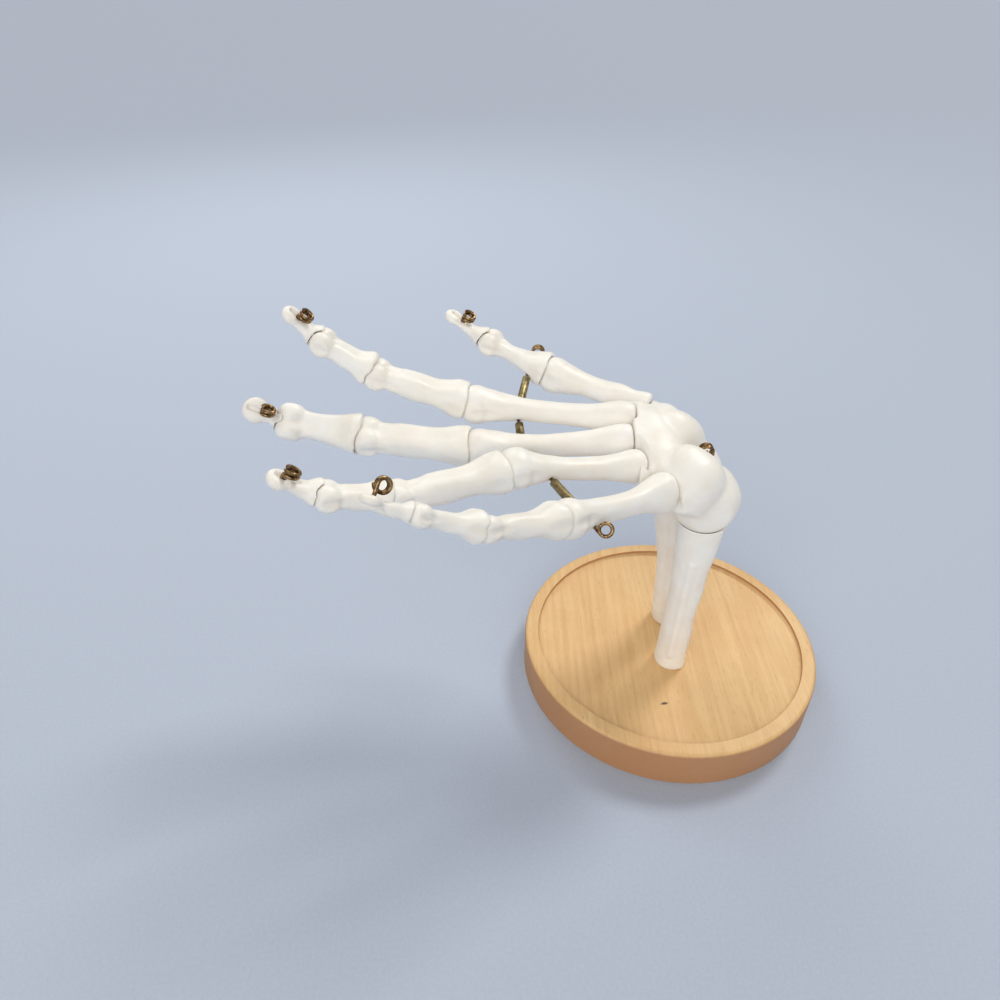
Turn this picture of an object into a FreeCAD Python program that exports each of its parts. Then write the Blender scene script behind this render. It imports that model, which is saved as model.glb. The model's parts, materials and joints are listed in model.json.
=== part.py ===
"""Life-size skeleton of a right hand, palm up, on a round wooden stand. Millimetres, +Z up.

The origin is the centre of the stand's underside. The fingers point along -X and the thumb lies on
the +Y side. Each finger bone is drawn in its own frame: X runs from its near joint to its far one,
Z points out of the palm side and Y is the axis that the bone bends about.
"""

import FreeCAD, Part
import math
import os

import Sketcher
from FreeCAD import Placement, Rotation, Vector

# Driving sizes of the stand, the joints and the wires, and of the wrist and forearm

SIZES = {
    "base_radius": 60,
    "base_thickness": 17,
    "rim_breadth": 5.5,
    "recess_depth": 1.8,
    "recess_corner_radius": 1.2,
    "base_top_round": 1.6,
    "base_bottom_bevel": 0.8,
    "screw_shank_radius": 1.7,
    "screw_head_radius": 3.6,
    "screw_head_height": 2.4,
    "screw_grip": 14,
    "screw_recess": 0.6,
    "screw_clearance": 0.1,
    "joint_gap": 0.4,
    "seam_gap": 0.3,
    "wire_radius": 0.6,
    "bore_radius": 0.8,
    "eye_radius": 2,
    "eye_pitch": 1.85,
    "wire_bend": 1.5,
    "crossing_bend": 3.6,
    "crossing_offset": 1.9,
    "crossing_exit": 6.2,
    "wire_root_depth": 6,
    "wrist_eye_stem": 3.6,
    "wrist_eye_depth": 4,
    "wrist_eye_forward": 3,
    "spacer_radius": 1.55,
    "spacer_gap": 1.4,
    "cut_overrun": 3,
    "wrist_height": 95,
    "wrist_forward": 0.5,
    "near_knuckle_radius": 11.6,
    "far_knuckle_radius": 9.7,
    "knuckle_waist_radius": 9.1,
    "knuckle_edge_radius": 7,
    "carpal_near_end": 20.5,
    "carpal_near_knuckle": 13.5,
    "carpal_far_knuckle": 12.5,
    "carpal_far_end": 21.5,
    "far_dome_radius": 11.4,
    "far_dome_back": 7.5,
    "far_dome_across": 15,
    "far_dome_rise": 8,
    "near_dome_radius": 11.2,
    "near_dome_back": 6,
    "near_dome_across": -12,
    "near_dome_rise": 8.4,
    "root_dome_radius": 8.6,
    "root_dome_back": 11.5,
    "root_dome_across": 21,
    "root_dome_rise": 11,
    "foot_radius": 6.2,
    "ulna_across": -12,
    "ulna_foot_back": -1,
    "radius_across": 12.2,
    "radius_foot_back": 1.7,
    "ulna_head_breadth": 16.2,
    "ulna_head_depth": 16.8,
    "ulna_rim_drop": 8.3,
    "radius_head_back": -2.4,
    "radius_head_breadth": 22,
    "radius_head_depth": 20.8,
    "radius_rim_drop": 6.4,
}

# Each bone from joint to joint, then its breadth at the base, at the waist and at the head
BONES = {
    "index_metacarpal": (58, 11.4, 8.6, 13.4),
    "index_proximal": (37.2, 15.8, 11.2, 12),
    "index_middle": (21.9, 14, 9.4, 11),
    "index_distal": (17.6, 10.4, 5.8, 7.8),
    "middle_metacarpal": (54.2, 10.6, 8.6, 13.4),
    "middle_proximal": (39.8, 15.4, 12, 13),
    "middle_middle": (26.8, 15, 10.4, 12.6),
    "middle_distal": (17.2, 12, 6.2, 9.4),
    "ring_metacarpal": (46.1, 10.4, 8.4, 13.2),
    "ring_proximal": (39.7, 16, 11.6, 12),
    "ring_middle": (22, 14, 9.2, 10.8),
    "ring_distal": (19.4, 10.4, 6, 8.2),
    "little_metacarpal": (43.2, 12, 8.8, 12.4),
    "little_proximal": (29.4, 14.2, 9, 10),
    "little_middle": (21.6, 12, 7, 8.4),
    "little_distal": (18, 7.8, 5, 6.8),
    "thumb_metacarpal": (38.4, 7.4, 9, 13.4),
    "thumb_proximal": (28.8, 15.4, 8, 11),
    "thumb_distal": (21.4, 10.6, 5.6, 7.8),
}

# Each digit's root on the wrist, then its spread, rise, roll and the sideways lean at the knuckle,
# and how far its joints are bent at rest, all in degrees
DIGITS = {
    "index": ((-22.5, 16.6, 111.2), (-3.8, 3.5, 0, -0.9), (12.9, 15.3, 12.6)),
    "middle": ((-24.4, 5.3, 109.4), (1.5, -3.5, 0, -2), (9.9, 5.1, 10.1)),
    "ring": ((-22.2, -5.6, 105.3), (16.4, 9, 8, 2.3), (-12.4, 16, 20)),
    "little": ((-14.8, -17.5, 103.3), (34.4, 8.4, 23, -2.7), (6.8, 15.5, 5.6)),
    "thumb": ((-15, 26.5, 112), (-23.9, 6.2, -1, 1.8), (12.1, 8.9)),
}

# How far a phalanx is turned about its wire, in degrees
TURNS = {
    "middle_proximal": -20,
    "middle_middle": -50,
    "middle_distal": -58,
    "index_distal": -14,
    "ring_distal": -20,
}

# Where a distal bone's wire comes out of its palm side, as a share of the bone's length
EYE_SHARES = {"index": 0.69, "middle": 0.58, "ring": 0.775, "little": 0.79, "thumb": 0.66}

# How far each of those eyes is turned about its stem, in degrees: 0 faces sideways
EYE_TURNS = {"index": -70, "middle": 0, "ring": -70, "little": 0, "thumb": -85}

# The way that each end of the crosswise wire turns as it leaves the bone, and the way that its eye
# faces: up and sideways behind the thumb, and to the front on the little finger
CROSSING_ENDS = (((0, 0, 1), (0.18, 0.96, 0.21)), ((0.67, -0.51, -0.54), (-0.12, -0.79, 0.6)))

# Where the crosswise wire goes through each bone, as a share of the bone's length
CROSSING_SHARES = {
    "thumb_proximal": 0.38,
    "index_metacarpal": 0.733,
    "middle_metacarpal": 0.72,
    "ring_metacarpal": 0.772,
    "little_metacarpal": 0.833,
}

# Shapes of the bones, as shares of the named sizes that they follow

# Corners of a bone's section: across and down on the back, across and up on the palm side
CORNER_SHARES = (0.72, 0.7, 0.8, 0.72)
BALL_SHARE = 0.53
CONDYLE_SHARE = 0.41
BALL_EDGE_SHARE = 0.42
CONDYLE_EDGE_SHARE = 0.62
HEAD_GROOVE_SHARE = 0.87
HEAD_PEAK_SHARE = 0.55
LIP_SHARE = 0.5
TUFT_THICKNESS_SHARE = 0.42
TUFT_FLAT_SHARE = 0.6

# Stations of a bone's shaft: place between lip and head, then breadth, back depth and palm depth,
# each with the size that it is a share of
METACARPAL_SHARES = (
    (0, ("base", 0.86, 1, 0.98)),
    (0.05, ("base", 1, 1.18, 1.14)),
    (0.15, ("base", 0.94, 1.06, 1)),
    (0.3, ("waist", 1.04, 1.14, 0.9)),
    (0.5, ("waist", 1, 1.08, 0.78)),
    (0.76, ("waist", 1.12, 1.12, 1)),
    (0.9, ("head", 0.88, 0.86, 0.84)),
    (1, ("head", 0.86, 0.84, 0.84)),
)
PHALANX_SHARES = (
    (0, ("base", 1, 0.78, 0.76)),
    (0.06, ("base", 1, 0.87, 0.86)),
    (0.17, ("base", 0.93, 0.78, 0.74)),
    (0.5, ("waist", 1, 0.98, 0.7)),
    (0.78, ("waist", 0.98, 0.84, 0.7)),
    (0.91, ("head", 0.92, 0.82, 0.78)),
    (1, ("head", 0.95, 0.8, 0.76)),
)
DISTAL_SHARES = (
    (0, ("base", 0.93, 0.74, 0.72)),
    (0.07, ("base", 1, 0.82, 0.8)),
    (0.18, ("base", 0.92, 0.72, 0.64)),
    (0.38, ("waist", 1.12, 1.1, 0.62)),
    (0.62, ("waist", 1, 0.94, 0.5)),
    (1, ("head", 0.74, 0.42, 0.36)),
)

# Sections of the two forearm bones: place up the bone, how far the centre has moved from the foot
# to the head, and breadth and depth as shares of the way from the foot's to the head's
ULNA_SHARES = (
    (0, 0, 0, 0),
    (0.32, 0.2, -0.08, -0.1),
    (0.62, 0.6, 0.1, 0.12),
    (0.84, 0.9, 0.55, 0.6),
    (1, 1, 1, 1),
)
RADIUS_SHARES = (
    (0, 0, 0, 0),
    (0.35, 0.2, 0, 0.12),
    (0.6, 0.5, 0.25, 0.35),
    (0.78, 0.78, 0.6, 0.7),
    (1, 1, 1, 1),
)

# Sections of the wrist block towards the fingers: place from the wrist's axis to the roots, sideways
# shift, rise, breadth, depth and slant
CARPAL_EDGE_SHARE = 1.12
CARPAL_SHARES = (
    (0.1, 0, 0.1, 0.74, 0.9, 0),
    (0.55, 0.75, 0.78, 1, 1.05, 0.75),
    (1, 1, 1, 1, 1, 1),
)


class Size:
    """A length together with the sheet formula that gives it."""

    def __init__(self, value, text):
        self.value = value
        self.text = text

    def __add__(self, other):
        return combine(self, "+", other, self.value + value_of(other))

    def __sub__(self, other):
        return combine(self, "-", other, self.value - value_of(other))

    def __mul__(self, other):
        return combine(self, "*", other, self.value * value_of(other))

    def __truediv__(self, other):
        return combine(self, "/", other, self.value / value_of(other))

    def __neg__(self):
        return Size(-self.value, f"(-{self.text})")


def value_of(item):
    return item.value if isinstance(item, Size) else item


def text_of(item):
    return item.text if isinstance(item, Size) else f"({item})"


def combine(left, sign, right, value):
    return Size(value, f"({text_of(left)} {sign} {text_of(right)})")


# The document and its sheet of sizes

doc = FreeCAD.newDocument("SkeletonHandHolder")
sheet = doc.addObject("Spreadsheet::Sheet", "Sizes")
SIZE = {}


def enter(name, value):
    row = len(SIZE) + 1
    sheet.set(f"A{row}", name)
    sheet.set(f"B{row}", str(value))
    sheet.setAlias(f"B{row}", name)
    SIZE[name] = Size(value, f"{sheet.Name}.{name}")


for name, value in SIZES.items():
    enter(name, value)
for bone, values in BONES.items():
    for measure, value in zip(("length", "base_breadth", "waist_breadth", "head_breadth"), values):
        enter(f"{bone}_{measure}", value)
for digit, (root, angles, bends) in DIGITS.items():
    for direction, value in zip(("back", "across", "up"), root):
        enter(f"{digit}_root_{direction}", value)
doc.recompute()


def size(name):
    return SIZE[name]


def number(name):
    return SIZE[name].value


# Helpers for bodies, sketches and features

NODES = {}


def new_body(name):
    body = doc.addObject("PartDesign::Body", f"{name}_body")
    return body


def place_constraint(sketch, point, coordinate, axis, rules):
    """Hold one coordinate of a sketch point, on the axis itself where it is zero."""
    kind, line = (("DistanceX", -2), ("DistanceY", -1))[axis]
    if isinstance(coordinate, Size):
        index = sketch.addConstraint(Sketcher.Constraint(kind, -1, 1, *point, coordinate.value))
        rules.append((index, coordinate.text))
    else:
        sketch.addConstraint(Sketcher.Constraint("PointOnObject", *point, line))


def flat(point):
    return Vector(value_of(point[0]), value_of(point[1]), 0)


def origin_plane(body, role):
    return next(item for item in body.Origin.OriginFeatures if item.Role == role)


def closed_sketch(body, name, role, outline, offset=Placement(), lift=None):
    """A closed outline of lines and arcs. Each entry is a corner and, for an arc, a point on it."""
    sketch = body.newObject("Sketcher::SketchObject", name)
    sketch.AttachmentSupport = [(origin_plane(body, role), "")]
    sketch.MapMode = "FlatFace"
    sketch.AttachmentOffset = offset
    rules = []
    ends = []
    for index, (corner, via) in enumerate(outline):
        start = flat(corner)
        finish = flat(outline[(index + 1) % len(outline)][0])
        if via is None:
            edge = sketch.addGeometry(Part.LineSegment(start, finish))
            ends.append((edge, 1, 2))
            continue
        middle = flat(via)
        edge = sketch.addGeometry(Part.Arc(start, middle, finish))
        anticlockwise = (finish - start).cross(middle - start).z < 0
        ends.append((edge, 1, 2) if anticlockwise else (edge, 2, 1))
    for index, (corner, via) in enumerate(outline):
        edge, first, last = ends[index]
        following = ends[(index + 1) % len(ends)]
        sketch.addConstraint(Sketcher.Constraint("Coincident", edge, last, following[0], following[1]))
        for axis in (0, 1):
            place_constraint(sketch, (edge, first), corner[axis], axis, rules)
        if via is not None:
            spot = sketch.addGeometry(Part.Point(flat(via)), True)
            for axis in (0, 1):
                place_constraint(sketch, (spot, 1), via[axis], axis, rules)
            sketch.addConstraint(Sketcher.Constraint("PointOnObject", spot, 1, edge))
    for index, text in rules:
        sketch.setExpression(f"Constraints[{index}]", text)
    if lift is not None:
        sketch.setExpression("AttachmentOffset.Base.z", lift.text)
    return sketch


def circle_sketch(body, name, role, radius, offset=Placement()):
    sketch = body.newObject("Sketcher::SketchObject", name)
    sketch.AttachmentSupport = [(origin_plane(body, role), "")]
    sketch.MapMode = "FlatFace"
    sketch.AttachmentOffset = offset
    sketch.addGeometry(Part.Circle(Vector(), Vector(0, 0, 1), radius.value))
    sketch.addConstraint(Sketcher.Constraint("Coincident", 0, 3, -1, 1))
    rule = sketch.addConstraint(Sketcher.Constraint("Radius", 0, radius.value))
    sketch.setExpression(f"Constraints[{rule}]", radius.text)
    return sketch


def loft(body, name, sections):
    feature = body.newObject("PartDesign::AdditiveLoft", name)
    feature.Profile = sections[0]
    feature.Sections = sections[1:]
    return feature


def turned(body, name, kind, sketch):
    feature = body.newObject(f"PartDesign::{kind}", name)
    feature.Profile = sketch
    feature.ReferenceAxis = (sketch, ["V_Axis"])
    feature.Angle = 360
    return feature


def cut_forward(body, name, sketch, length):
    """A pocket towards the side that the sketch faces."""
    feature = body.newObject("PartDesign::Pocket", name)
    feature.Profile = sketch
    feature.Reversed = True
    feature.setExpression("Length", length.text)
    return feature


def oval(half, back, palm, centre=0):
    """Four arcs: a round back, a flatter palm side and rounded flanks."""
    across_back, down_back, across_palm, up_palm = CORNER_SHARES
    right = ((half * across_back, -(back * down_back)), (half, 0))
    upper = ((half * across_palm, palm * up_palm), (0, palm))
    left = ((-(half * across_palm), palm * up_palm), (-half, 0))
    lower = ((-(half * across_back), -(back * down_back)), (0, -back))
    return [right, upper, left, lower]


def cut_with(name, base, tool):
    feature = doc.addObject("Part::Cut", f"{name}_cut")
    feature.Base = base
    feature.Tool = tool
    return feature


# Bones of the hand


class Head:
    """A bone's far end: a ball on a metacarpal, two knuckles with a groove between on the others."""

    def __init__(self, bone):
        breadth = size(f"{bone}_head_breadth")
        self.ball = bone.endswith("metacarpal")
        self.half = breadth / 2
        self.radius = breadth * (BALL_SHARE if self.ball else CONDYLE_SHARE)
        self.edge = self.radius * (BALL_EDGE_SHARE if self.ball else CONDYLE_EDGE_SHARE)
        self.groove = self.radius * HEAD_GROOVE_SHARE
        self.peak = self.half * HEAD_PEAK_SHARE

    def arcs(self, grown):
        """The outline from one side to the other, with the radius grown by a gap."""
        edge = self.edge + grown
        half = self.half + grown
        radius = self.radius + grown
        if self.ball:
            return [((edge, -half), (radius, 0)), ((edge, half), None)]
        groove = self.groove + grown
        return [
            ((edge, -half), (radius, -self.peak)),
            ((groove, 0), (radius, self.peak)),
            ((edge, half), None),
        ]

    def solid_outline(self):
        return [((0, -self.half), None), *self.arcs(0), ((0, self.half), None)]

    def cup_outline(self, reach):
        gap = size("joint_gap")
        edge = self.edge + gap
        start = [((0, -reach), None), ((edge, -reach), None)]
        finish = [((edge, reach), None), ((0, reach), None)]
        return [*start, *self.arcs(gap), *finish]


def shaft(body, bone, shares, start, end, head_half, head_depth):
    """The loft from the bone's lip to its head."""
    halves = {
        "base": size(f"{bone}_base_breadth") / 2,
        "waist": size(f"{bone}_waist_breadth") / 2,
        "head": head_half,
    }
    sections = []
    for number_of_section, (place, (which, breadth, back, palm)) in enumerate(shares):
        half = halves[which]
        depth = head_depth if which == "head" else half
        outline = oval(half * breadth, depth * back, depth * palm)
        along = (end - start) * place + start
        name = f"{bone}_section_{number_of_section}"
        sections.append(closed_sketch(body, name, "YZ_Plane", outline, lift=along))
    return loft(body, f"{bone}_shaft", sections)


def drill(body, bone, length):
    sketch = circle_sketch(body, f"{bone}_bore_circle", "YZ_Plane", size("bore_radius"))
    return cut_forward(body, f"{bone}_bore", sketch, length)


def along_x(distance):
    return Placement(Vector(value_of(distance), 0, 0), Rotation())


def make_head(body, bone, head):
    length = size(f"{bone}_length")
    sketch = closed_sketch(body, f"{bone}_head_outline", "XY_Plane", head.solid_outline(), along_x(length))
    sketch.setExpression("AttachmentOffset.Base.x", length.text)
    return turned(body, f"{bone}_head", "Revolution", sketch)


def make_cup(body, bone, parent_head, axis):
    reach = parent_head.half + size("cut_overrun")
    offset = Placement(Vector(), Rotation(Vector(0, 1, 0), axis))
    sketch = closed_sketch(body, f"{bone}_cup_outline", "XY_Plane", parent_head.cup_outline(reach), offset)
    return turned(body, f"{bone}_cup", "Groove", sketch)


def metacarpal(bone):
    body = new_body(bone)
    head = Head(bone)
    length = size(f"{bone}_length")
    shaft(body, bone, METACARPAL_SHARES, 0, length, head.half, head.radius)
    make_head(body, bone, head)
    drill(body, bone, length + head.radius + size("cut_overrun"))
    return body


def phalanx(bone, parent_head, axis):
    body = new_body(bone)
    head = Head(bone)
    length = size(f"{bone}_length")
    lip = parent_head.radius * LIP_SHARE
    shaft(body, bone, PHALANX_SHARES, lip, length, head.half, head.radius)
    make_head(body, bone, head)
    make_cup(body, bone, parent_head, axis)
    drill(body, bone, length + head.radius + size("cut_overrun"))
    return body


class Tip:
    """Where a distal bone's wire comes out and stands as an eye over the palm side."""

    def __init__(self, bone):
        length = size(f"{bone}_length")
        self.tuft = size(f"{bone}_head_breadth") / 2
        self.tuft_place = length - self.tuft
        waist = size(f"{bone}_waist_breadth") / 2
        palm = waist * DISTAL_SHARES[3][1][3]
        self.rise = palm + size("joint_gap") + size("wire_radius") + size("eye_radius")
        self.exit = length * EYE_SHARES[bone.split("_")[0]]
        self.straight_end = self.exit - size("wire_bend")


def distal(bone, parent_head, axis):
    body = new_body(bone)
    tip = Tip(bone)
    lip = parent_head.radius * LIP_SHARE
    shaft(body, bone, DISTAL_SHARES, lip, tip.tuft_place, tip.tuft, tip.tuft)
    flat_half = tip.tuft * TUFT_FLAT_SHARE
    thick = tip.tuft * TUFT_THICKNESS_SHARE
    outline = [
        ((0, -thick), None),
        ((flat_half, -thick), (tip.tuft, 0)),
        ((flat_half, thick), None),
        ((0, thick), None),
    ]
    sketch = closed_sketch(body, f"{bone}_tuft_outline", "XZ_Plane", outline, along_x(tip.tuft_place))
    sketch.setExpression("AttachmentOffset.Base.x", tip.tuft_place.text)
    turned(body, f"{bone}_tuft", "Revolution", sketch)
    make_cup(body, bone, parent_head, axis)
    drill(body, bone, tip.exit)
    bore = size("bore_radius")
    slot = [
        ((tip.straight_end, -bore), None),
        ((tip.exit, -bore), (tip.exit + bore, 0)),
        ((tip.exit, bore), None),
        ((tip.straight_end, bore), None),
    ]
    sketch = closed_sketch(body, f"{bone}_slot_outline", "XY_Plane", slot)
    cut_forward(body, f"{bone}_slot", sketch, tip.tuft + size("cut_overrun"))
    return body


PHALANGES = ("proximal", "middle", "distal")


def digit_frames(digit):
    """The placement of each bone of a digit, before any turn about its wire."""
    root = Vector(*[number(f"{digit}_root_{direction}") for direction in ("back", "across", "up")])
    spread, rise, roll, lean = DIGITS[digit][1]
    bends = DIGITS[digit][2]
    turn = Rotation(Vector(0, 0, 1), 180)
    turn = turn * Rotation(Vector(0, 0, 1), spread) * Rotation(Vector(0, 1, 0), -rise)
    turn = turn * Rotation(Vector(1, 0, 0), roll)
    names = [f"{digit}_metacarpal", *[f"{digit}_{part}" for part in PHALANGES]]
    if digit == "thumb":
        names.remove("thumb_middle")
    frames = {names[0]: Placement(root, turn)}
    turn = turn * Rotation(Vector(0, 0, 1), lean)
    for near, far, bend in zip(names, names[1:], bends):
        joint = frames[near].multVec(Vector(number(f"{near}_length"), 0, 0))
        turn = turn * Rotation(Vector(0, 1, 0), -bend)
        frames[far] = Placement(joint, turn)
    return frames


def turned_frame(frame, bone):
    return frame * Placement(Vector(), Rotation(Vector(1, 0, 0), TURNS.get(bone, 0)))


FRAMES = {}
HINGES = {}


def make_digit(digit):
    """Make a digit's bones, each seated on the one before it."""
    near = None
    for bone, frame in digit_frames(digit).items():
        frame = turned_frame(frame, bone)
        FRAMES[bone] = frame
        if near is None:
            body = metacarpal(bone)
        else:
            hinge = FRAMES[near].Rotation.multVec(Vector(0, 1, 0))
            HINGES[bone] = (frame.Base, -hinge)
            axis = frame.Rotation.inverted().multVec(hinge)
            build = distal if bone.endswith("distal") else phalanx
            body = build(bone, Head(near), axis)
        body.Placement = frame
        NODES[bone] = body
        near = bone


# Wires


def biarc(start, leaving, finish, arriving):
    """Two arcs that join two points with the given directions."""
    span = finish - start
    both = leaving + arriving
    spare = 4 - both.dot(both)
    reach = (math.sqrt(span.dot(both) ** 2 + spare * span.dot(span)) - span.dot(both)) / spare
    first_corner = start + leaving * reach
    last_corner = finish - arriving * reach
    middle = (first_corner + last_corner) / 2
    return [arc(start, first_corner, middle), arc(middle, last_corner, finish)]


def arc(start, corner, finish):
    """The arc that leaves start and reaches finish along the lines to their corner."""
    centre = (start + finish) / 2
    half = (finish - start).Length / 2
    out = corner - centre
    bulge = half * math.tan(math.atan2(out.Length, half) / 2)
    return (start, centre + out.normalize() * bulge, finish)


def coil(start, heading, axis, pitch):
    """A coil that starts along its heading and winds about its axis, with a short straight tail."""
    radius = number("eye_radius")
    climb = pitch / (2 * math.pi)
    out = heading.cross(axis) * radius
    centre = start - out
    route = []
    place = start
    direction = heading
    for half_turns in EYE_HALF_TURNS:
        angle = half_turns * math.pi
        spoke = out * math.cos(angle) + heading * (radius * math.sin(angle))
        following = centre + spoke + axis * (climb * angle)
        onward = heading * (radius * math.cos(angle)) - out * math.sin(angle) + axis * climb
        onward.normalize()
        route += biarc(place, direction, following, onward)
        place = following
        direction = onward
    route.append((place, place + direction * (2 * number("wire_radius"))))
    return route


def backwards(route):
    return [tuple(reversed(piece)) for piece in reversed(route)]


def edges_of(route):
    """The route's edges: two points make a line and three an arc."""
    curves = [Part.LineSegment(*piece) if len(piece) == 2 else Part.Arc(*piece) for piece in route]
    return [curve.toShape() for curve in curves]


def print_least_gap(name, route):
    """How near a wire comes to itself between parts that are over half a turn of its eye apart."""
    step = number("wire_radius") / 3
    points = Part.Wire(edges_of(route)).discretize(Distance=step)
    apart = math.ceil(math.pi * number("eye_radius") / step)
    nearest = min(
        point.distanceToPoint(other)
        for index, point in enumerate(points)
        for other in points[index + apart :]
    )
    print(f"{name} least gap to itself {nearest - 2 * number('wire_radius'):.2f} mm")


def tube(route, radius):
    """A round wire swept along the route."""
    edges = edges_of(route)
    heading = edges[0].tangentAt(edges[0].FirstParameter)
    rim = Part.Wire(Part.Circle(route[0][0], heading, radius).toShape())
    return Part.Wire(edges).makePipeShell([rim], True, False)


def wire_feature(name, route, radius, frame=Placement()):
    item = doc.addObject("Part::Feature", f"{name}_swept")
    item.Shape = tube(route, radius)
    item.Placement = frame
    return item


X_AXIS = Vector(1, 0, 0)
Y_AXIS = Vector(0, 1, 0)
Z_AXIS = Vector(0, 0, 1)
EYE_HALF_TURNS = (1, 2, 3, 3.5)


def tip_wire(bone):
    """From the joint through the distal bone, out of its palm side and round the eye."""
    tip = Tip(bone)
    digit = bone.split("_")[0]
    near = "thumb_proximal" if digit == "thumb" else f"{digit}_middle"
    start = Vector(Head(near).radius.value + 2 * number("joint_gap"), 0, 0)
    bend_start = Vector(tip.straight_end.value, 0, 0)
    corner = Vector(tip.exit.value, 0, 0)
    bend_end = corner + Z_AXIS * number("wire_bend")
    coil_start = corner + Z_AXIS * tip.rise.value
    route = [(start, bend_start), arc(bend_start, corner, bend_end), (bend_end, coil_start)]
    axis = Rotation(Z_AXIS, EYE_TURNS[digit]).multVec(-Y_AXIS)
    route += coil(coil_start, Z_AXIS, axis, number("eye_pitch"))
    print_least_gap(f"{digit}_tip_wire", route)
    return wire_feature(f"{digit}_tip", route, number("wire_radius"), FRAMES[bone])


def core_wire(bone):
    """The straight stretch of a digit's wire inside one bone."""
    rod = doc.addObject("Part::Cylinder", f"{bone}_core")
    rod.setExpression("Radius", size("wire_radius").text)
    length = size(f"{bone}_length")
    digit, part = bone.split("_")
    if part == "metacarpal":
        start = -size("wire_root_depth")
    else:
        near = f"{digit}_metacarpal" if part == "proximal" else f"{digit}_proximal"
        start = Head(near).radius + size("joint_gap") * 2
    reach = length + Head(bone).edge - size("joint_gap") - start
    rod.setExpression("Height", reach.text)
    rod.Placement = FRAMES[bone] * Placement(Vector(start.value, 0, 0), Rotation(Z_AXIS, X_AXIS))
    return rod


def rounded_route(points, bend):
    """Straight runs through the points with an arc in each corner."""
    route = []
    place = points[0]
    for before, corner, after in zip(points, points[1:], points[2:]):
        back = (before - corner).normalize()
        onward = (after - corner).normalize()
        reach = bend * math.tan((math.pi - back.getAngle(onward)) / 2)
        route.append((place, corner + back * reach))
        route.append(arc(corner + back * reach, corner, corner + onward * reach))
        place = corner + onward * reach
    route.append((place, points[-1]))
    return route


def crossing_points():
    """Where the crosswise wire passes through the bones, on the back side of their own wires."""
    points = []
    for bone, share in CROSSING_SHARES.items():
        local = Vector(number(f"{bone}_length") * share, 0, -number("crossing_offset"))
        points.append(FRAMES[bone].multVec(local))
    return points


def crosswise_route(with_eyes):
    """From the thumb's side to the little finger's, with an eye standing at each end."""
    points = crossing_points()
    ends = []
    pairs = ((points[0], points[1]), (points[-1], points[-2]))
    for (near, far), (side, facing) in zip(pairs, CROSSING_ENDS):
        outward = (near - far).normalize()
        side = Vector(*side).normalize()
        facing = Vector(*facing)
        axis = (facing - side * side.dot(facing)).normalize()
        place = near + outward * number("crossing_exit")
        reach = number("wire_bend") * math.tan(outward.getAngle(side) / 2)
        corner = place + outward * reach
        finish = corner + side * reach
        winding = coil(finish, side, axis, number("eye_pitch"))
        ends.append([arc(place, corner, finish), *winding])
    first = ends[0][0][0]
    last = ends[1][0][0]
    route = rounded_route([first, *points[1:-1], last], number("crossing_bend"))
    if not with_eyes:
        return route
    route = [*backwards(ends[0]), *route, *ends[1]]
    print_least_gap("crosswise_wire", route)
    return route


def spacer(name, near, far, near_bone, far_bone):
    """A tube on the crosswise wire that keeps two bones apart."""
    line = Part.LineSegment(near, far).toShape()
    run = (far - near).normalize()
    inside = [line.common(bone.Shape).Length for bone in (near_bone, far_bone)]
    gap = number("spacer_gap")
    length = (far - near).Length - inside[0] - inside[1] - 2 * gap
    frame = Placement(near + run * (inside[0] + gap), Rotation(Z_AXIS, run))
    pieces = []
    for role, radius in (("outside", "spacer_radius"), ("inside", "bore_radius")):
        piece = doc.addObject("Part::Cylinder", f"{name}_{role}")
        piece.setExpression("Radius", size(radius).text)
        piece.Height = length
        piece.Placement = frame
        pieces.append(piece)
    return cut_with(name, *pieces)


# The wrist block


def wrist_frame():
    return Placement(Vector(number("wrist_forward"), 0, number("wrist_height")), Rotation())


def knuckle_outline(grown, reach):
    """Half section of the wrist's two knuckles about the wrist's axis."""
    edge = size("knuckle_edge_radius") + grown
    waist = size("knuckle_waist_radius") + grown
    near_peak = (size("near_knuckle_radius") + grown, -size("carpal_near_knuckle"))
    far_peak = (size("far_knuckle_radius") + grown, size("carpal_far_knuckle"))
    near_end = -(size("carpal_near_end") + grown)
    far_end = size("carpal_far_end") + grown
    outline = [((edge, near_end), near_peak), ((waist, 0), far_peak), ((edge, far_end), None)]
    if reach is None:
        return [((0, near_end), None), *outline, ((0, far_end), None)]
    near_side = near_end - reach
    far_side = far_end + reach
    start = [((0, near_side), None), ((edge, near_side), None)]
    finish = [((edge, far_side), None), ((0, far_side), None)]
    return [*start, *outline, *finish]


def add_dome(body, name):
    """A ball on the palm side of the wrist block."""
    dome = body.newObject("PartDesign::AdditiveSphere", name)
    dome.setExpression("Radius", size(f"{name}_radius").text)
    dome.AttachmentSupport = [(origin_plane(body, "XY_Plane"), "")]
    dome.MapMode = "FlatFace"
    spot = Vector(-number(f"{name}_back"), number(f"{name}_across"), number(f"{name}_rise"))
    dome.AttachmentOffset = Placement(spot, Rotation())


def root_middle():
    """The middle of the finger roots, the direction of their row and its half length."""
    roots = [FRAMES[f"{digit}_metacarpal"].Base for digit in DIGITS]
    across = sorted(roots, key=lambda root: root.y)
    middle = (across[0] + across[-1]) / 2
    middle.x = min(root.x for root in roots)
    middle.z = sum(root.z for root in roots) / len(roots)
    return middle - wrist_frame().Base, across[-1] - across[0]


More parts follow.
